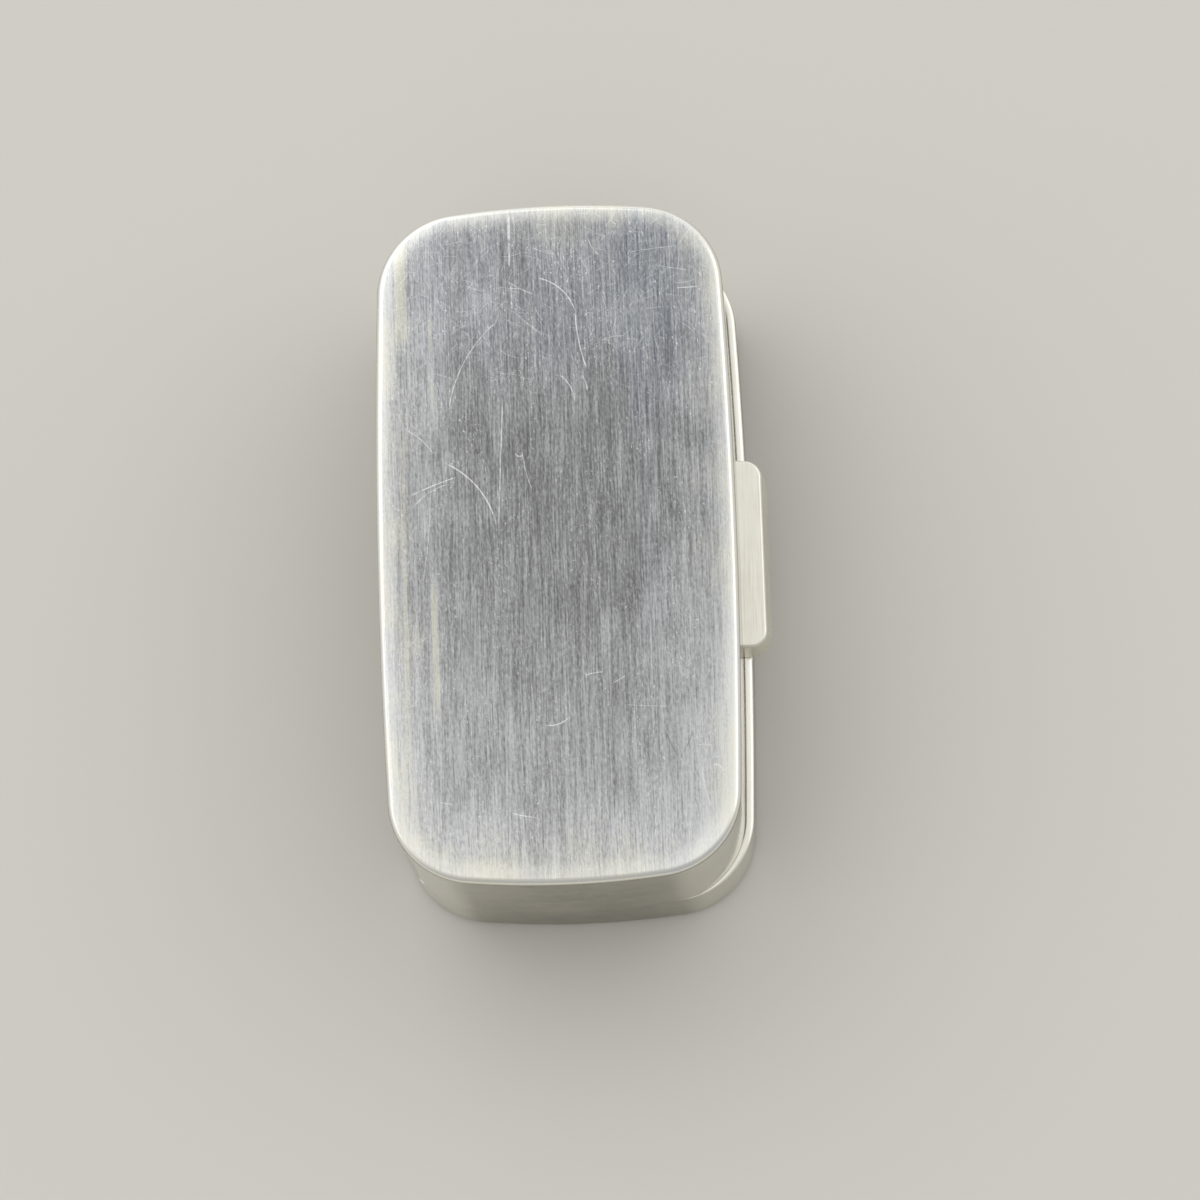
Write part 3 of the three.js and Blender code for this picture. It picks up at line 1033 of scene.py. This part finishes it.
def pale_wear_and_painted_reflection(metal, edge, cloud):
    """Masks of the places where the top is paler, partly worn and partly as a painted reflection: its edges,
    sides and ends.
    """
    x, y = metal.x, metal.y
    border = metal.ramp(metal.total((edge, 1), (cloud, 0.15)), 0.92, 1.08)
    return {
        "worn": metal.ramp(metal.total((edge, 1), (cloud, 0.5)), 0.75, 1.35),
        "border": metal.product(border, metal.ramp(x, *BORDER_ALONG, 0.5, 1.1)),
        "left": metal.ramp(metal.total((y, 1), (cloud, 4)), *LEFT_SIDE),
        "right": metal.ramp(metal.total((y, -1), (cloud, 4)), *RIGHT_SIDE),
        "near_end": metal.ramp(x, *NEAR_END, 1, 0),
        "near_right": metal.product(
            metal.ramp(y, *NEAR_RIGHT_ACROSS, 1, 0),
            metal.ramp(x, *NEAR_RIGHT_ALONG, 1, 0),
        ),
        "far_end": metal.ramp(x, *FAR_END),
    }


def random_marks(metal, far_end):
    """A web of faint scratches towards the far end, a few clear ones, and ragged flecks."""
    web = metal.strongest(*[metal.scattered(each) for each in FAINT_WEB])
    crossing = metal.total((web, WEB_STRENGTH), (metal.scattered(CLEAR_SCATTER), CLEAR_STRENGTH))
    crossing = metal.product(crossing, metal.ramp(far_end, 0, 1, 0.15, 0.8))
    ragged = metal.ramp(metal.noise((0.26, 0.13, 0.3), 8, 3, 0.75), 0.6, 0.72)
    patches = metal.ramp(metal.noise((3.2, 2, 3), 0, 2), 0.4, 0.62, 0.15, 0.9)
    return metal.strongest(crossing, metal.product(ragged, patches))


def pale_marks(metal, flat, far_end):
    """All pale scratches, specks and flecks, on the upper side of the sheet only."""
    scratches = [metal.arc_scratch(flat, each) for each in PALE_SCRATCHES]
    specks = [metal.speck(flat, each) for each in SPECKS]
    broken = metal.ramp(metal.noise((0.3, 0.3, 0.3)), 0.35, 0.6, 0.5, 1)
    placed = metal.product(metal.strongest(*scratches, *specks), broken)
    marks = metal.strongest(placed, random_marks(metal, far_end))
    return metal.product(marks, metal.math("GREATER_THAN", metal.facing[2], 0))


def top_wear_and_painted_reflection(metal, edge, cloud):
    """Masks of every kind of wear on the top, and of the painted reflection on its edges, sides and ends."""
    flat = metal.vector("MULTIPLY", metal.place, (1, 1, 0))
    wear = pale_wear_and_painted_reflection(metal, edge, cloud)
    wear["rubbed"] = metal.strongest(*[metal.rub(each) for each in RUBS])
    wear["hairline"] = metal.ramp(metal.noise((13, 0.07, 3), 0.2, 1), 0.6, 0.74)
    wear["marks"] = pale_marks(metal, flat, wear["far_end"])
    wear["dark"] = metal.strongest(*[metal.arc_scratch(flat, each) for each in DARK_SCRATCHES])
    return wear


def top_brightness(metal, edge, layers, wear):
    """How bright the metal is, from 0 to 1: brushing, weaker near the edge, and wear and painted reflection.
    """
    brushing = metal.total(*[(layers[name], layer.weight) for name, layer in LAYERS.items()])
    middle = sum(layer.weight for layer in LAYERS.values()) / 2
    brushing = metal.math("SUBTRACT", brushing, middle)
    brushing = metal.product(brushing, metal.ramp(edge, 0.82, 0.99, 1, 0.35))
    added = metal.total(*[(wear[name], weight) for name, weight in WEAR_AND_PAINTED_LIGHT.items()])
    level = metal.math("ADD", metal.math("ADD", brushing, BRIGHTNESS), added)
    rounded = metal.ramp(metal.facing[2], 0.9, 0.994, 1, 0)
    return metal.strongest(metal.ramp(level, 0, 1), rounded)


def top_colour(metal, layers, wear, brightness):
    """Grey or bluish where deep, cool or warm where pale, and the walls' silver, painted dark, on the sides.
    The blue at the far end and in a band is a painted cool reflection.
    """
    cloud = layers["cloud"]
    band = metal.product(metal.ramp(metal.y, *BAND_RISE), metal.ramp(metal.y, *BAND_FALL, 1, 0))
    # The far end and a band across the top are painted bluish as a cool reflection, broken up by the grain
    bluish_tint_and_painted_reflection = metal.total((wear["far_end"], 0.42), (band, 0.26), (layers["broad"], 0.6), (cloud, 0.3))
    deep = metal.blend(metal.ramp(bluish_tint_and_painted_reflection, 0.6, 1.1), DEEP_GREY, DEEP_BLUE_AND_PAINTED_REFLECTION)
    warm = metal.total((wear["worn"], 0.6), (cloud, 0.5), (wear["rubbed"], 0.6))
    pale = metal.blend(metal.ramp(warm, 0.5, 1), PALE_COOL, PALE_WARM)
    side = metal.ramp(metal.facing[2], 0.1, 0.6, 1, 0)
    return metal.blend(side, metal.blend(brightness, deep, pale), WALL_SILVER_PAINTED_DARK)


def brushed_top():
    """Worn silver brushed along its length: streaks, rubs, scratches, flecks, and paler edges, sides and
    ends that are partly wear and partly a painted reflection.
    """
    metal = Metal("Brushed silver")
    layers = {name: metal.noise(*layer[:-1]) for name, layer in LAYERS.items()}
    fine, hair, grit, streak, _, cloud = layers.values()
    edge = edge_nearness(metal)
    wear = top_wear_and_painted_reflection(metal, edge, cloud)
    marks = wear["marks"]
    colour = top_colour(metal, layers, wear, top_brightness(metal, edge, layers, wear))
    rough = metal.total((fine, 0.5), (marks, 0.6), (cloud, 0.3))
    height = metal.total((fine, 0.6), (hair, 0.7), (grit, 0.2), (streak, 0.5), (marks, -1.2))
    return metal.finish(colour, metal.ramp(rough, 0.2, 1, 0.2, 0.36), metal.bump(height, BRUSHING_DEPTH))


# Patinated silver

def tarnish(metal, patina, cloud, haze, fine):
    """Where the patina is dark: clouds broken by haze and by the streaks of the grain."""
    mixed = metal.total((cloud, 0.5), (haze, 0.2), (fine, patina.streaks))
    middle = (0.7 + patina.streaks) / 2
    spread = 0.13 + patina.streaks / 4
    return metal.ramp(mixed, middle - spread, middle + spread)


def seam_dirt(metal, haze):
    """Dirt in a ragged line along the seam."""
    return metal.ramp(metal.math("ADD", metal.away(metal.z, SEAM_Z), haze), 0.35, 0.75, 0.6, 0)


def paler_corners(metal, cloud):
    """Where the rounded corners are paler."""
    corner = metal.math("ABSOLUTE", metal.product(metal.facing[0], metal.facing[1]))
    return metal.ramp(metal.total((corner, 1), (cloud, 0.2)), 0.12, 0.5, 0, 0.75)


def rubbed_and_painted_lit_faces(metal, patina, stain, haze):
    """Where faces that look up are painted bright, partly as rubbing and partly as a painted highlight from
    above, less so on streaks of patina.
    """
    facing_up = metal.ramp(metal.total((metal.facing[2], 1), (haze, 0.4)), 0.5, 0.85)
    return metal.product(facing_up, metal.math("SUBTRACT", 1, metal.product(stain, patina.streaks)))


def pit_specks(metal):
    """Small bright specks, one in some of the cells."""
    pits = metal.cells(metal.stretched((PIT_SPACING, PIT_SPACING, PIT_SPACING)), "3D")
    near = metal.ramp(pits.outputs["Distance"], *PIT_FADE, PIT_STRENGTH, 0)
    draw = metal.parts(pits.outputs["Color"])[0]
    return metal.product(near, metal.math("LESS_THAN", draw, PIT_SHARE))


def patinated(name, patina):
    """Silver with a patina, paler at the rounded corners, bright on faces that look up partly as a painted
    highlight, and dirty along the seam.
    """
    metal = Metal(name)
    cloud = metal.noise((9, 9, 4), 0, 3, 0.5, 0.3)
    haze = metal.noise((0.8, 0.8, 0.8), 0, 3, 0.6)
    fine = metal.noise(patina.grain, 0, 3, 0.6)
    stain = tarnish(metal, patina, cloud, haze, fine)
    dirt = seam_dirt(metal, haze)
    rubbed = rubbed_and_painted_lit_faces(metal, patina, stain, haze)
    specks = pit_specks(metal)

    colour = metal.blend(metal.strongest(stain, dirt), patina.clean, patina.tarnished)
    colour = metal.blend(paler_corners(metal, cloud), colour, CORNER_SILVER)
    # Faces that look up are painted bright: partly rubbing, partly a painted highlight
    colour = metal.blend(metal.strongest(rubbed, specks), colour, RUBBED_SILVER_AND_PAINTED_HIGHLIGHT)
    rough = metal.total((fine, 0.5), (cloud, 0.3), (dirt, 0.5), (specks, 0.6), (rubbed, 0.5))
    roughness = metal.ramp(rough, 0.2, 1, patina.smooth, patina.smooth + patina.wear)
    height = metal.total((fine, 1), (haze, 0.5), (specks, 2))
    return metal.finish(colour, roughness, metal.bump(height, POLISH_DEPTH))


def coat(material, *pieces):
    for piece in pieces:
        piece.data.materials.append(material)


# Scene, in metres

CLIP_START, CLIP_END = 0.01, 20

FLOOR_REACH = 3
FLOOR_LEVEL = -0.00002
FLOOR_COLOUR = (0.72, 0.705, 0.675, 1)
FLOOR_ROUGHNESS = 0.7
FLOOR_SHINE = 0.2

# A dim patch overhead, which the top mirrors, and pale walls brighter towards one side
PATCH_AXIS = (0.3, 0.035, 0.953)
PATCH_ANGLES = (2.5, 14.5)
PATCH_COLOUR = (0.24, 0.246, 0.256, 1)
WALL_COLOUR = (0.98, 0.97, 0.94, 1)
LIGHT_AXIS = (1, 0.25, 0.55)
LIGHT_RANGE = (-0.5, 0.6)
LIGHT_LEVELS = (0.44, 0.95)

Softbox = namedtuple("Softbox", "name place width height level")
SOFTBOXES = (
    Softbox("Key", (0.5, 0.35, 0.5), 0.7, 0.7, 0.45),
    Softbox("Left fill", (0.1, 0.6, 0.35), 0.6, 0.25, 0.3),
    Softbox("Right fill", (0.2, -0.6, 0.42), 0.6, 0.42, 0.5),
)


def placed(name, data):
    """A new object in the scene."""
    made = bpy.data.objects.new(name, data)
    bpy.context.scene.collection.objects.link(made)
    return made


def add_camera():
    data = bpy.data.cameras.new("Camera")
    data.lens = LENS
    data.sensor_width = SENSOR
    data.clip_start = CLIP_START
    data.clip_end = CLIP_END
    camera = placed("Camera", data)
    camera.location = EYE * MM
    camera.rotation_euler = camera_turns()
    bpy.context.scene.camera = camera


def add_floor():
    """A plain pale floor just below the box."""
    mesh = bpy.data.meshes.new("Floor")
    sides = ((-1, -1), (1, -1), (1, 1), (-1, 1))
    corners = [(FLOOR_REACH * x, FLOOR_REACH * y, FLOOR_LEVEL) for x, y in sides]
    mesh.from_pydata(corners, [], [(0, 1, 2, 3)])
    material = bpy.data.materials.new("Floor")
    material.use_nodes = True
    surface = material.node_tree.nodes["Principled BSDF"]
    surface.inputs["Base Color"].default_value = FLOOR_COLOUR
    surface.inputs["Roughness"].default_value = FLOOR_ROUGHNESS
    surface.inputs["Specular IOR Level"].default_value = FLOOR_SHINE
    mesh.materials.append(material)
    placed("Floor", mesh)


def add_softbox(softbox):
    """A soft lamp that faces the object and looks as bright as its level, where 1 is a white wall."""
    data = bpy.data.lights.new(softbox.name, "AREA")
    data.shape = "RECTANGLE"
    data.size = softbox.width
    data.size_y = softbox.height
    data.energy = softbox.level * math.pi * softbox.width * softbox.height
    lamp = placed(softbox.name, data)
    lamp.location = softbox.place
    lamp.rotation_mode = "QUATERNION"
    lamp.rotation_quaternion = Vector(softbox.place).to_track_quat("Z", "Y")


def add_world():
    """A soft studio: a dim patch overhead, pale walls, and more light from one side."""
    world = bpy.data.worlds.new("Studio")
    world.use_nodes = True
    bpy.context.scene.world = world
    nodes = Nodes(world.node_tree)
    direction = nodes.node("ShaderNodeTexCoord").outputs["Generated"]
    off_patch = nodes.vector("DOT_PRODUCT", direction, Vector(PATCH_AXIS).normalized())
    to_light = nodes.vector("DOT_PRODUCT", direction, Vector(LIGHT_AXIS).normalized())
    inner, outer = (math.radians(angle) for angle in PATCH_ANGLES)
    patch = nodes.ramp(nodes.math("ARCCOSINE", off_patch), inner, outer)
    background = world.node_tree.nodes["Background"]
    nodes.feed(background.inputs["Color"], nodes.blend(patch, PATCH_COLOUR, WALL_COLOUR))
    nodes.feed(background.inputs["Strength"], nodes.ramp(to_light, *LIGHT_RANGE, *LIGHT_LEVELS))


bpy.context.scene.view_settings.view_transform = "Standard"
coat(brushed_top(), lid_plate())
# The walls are painted dark as a reflection, over a real olive tarnish
coat(patinated("Polished silver painted dark", POLISHED_PAINTED_DARK), lid_wall(), base_wall(), base_plate())
coat(patinated("Satin silver", SATIN), base_rim(), thumb_piece())
coat(patinated("Worn silver", WORN), lid_gutter(), base_gutter(), hinge_pin(), *hinge_knuckles())

add_camera()
add_floor()
add_world()
for softbox in SOFTBOXES:
    add_softbox(softbox)
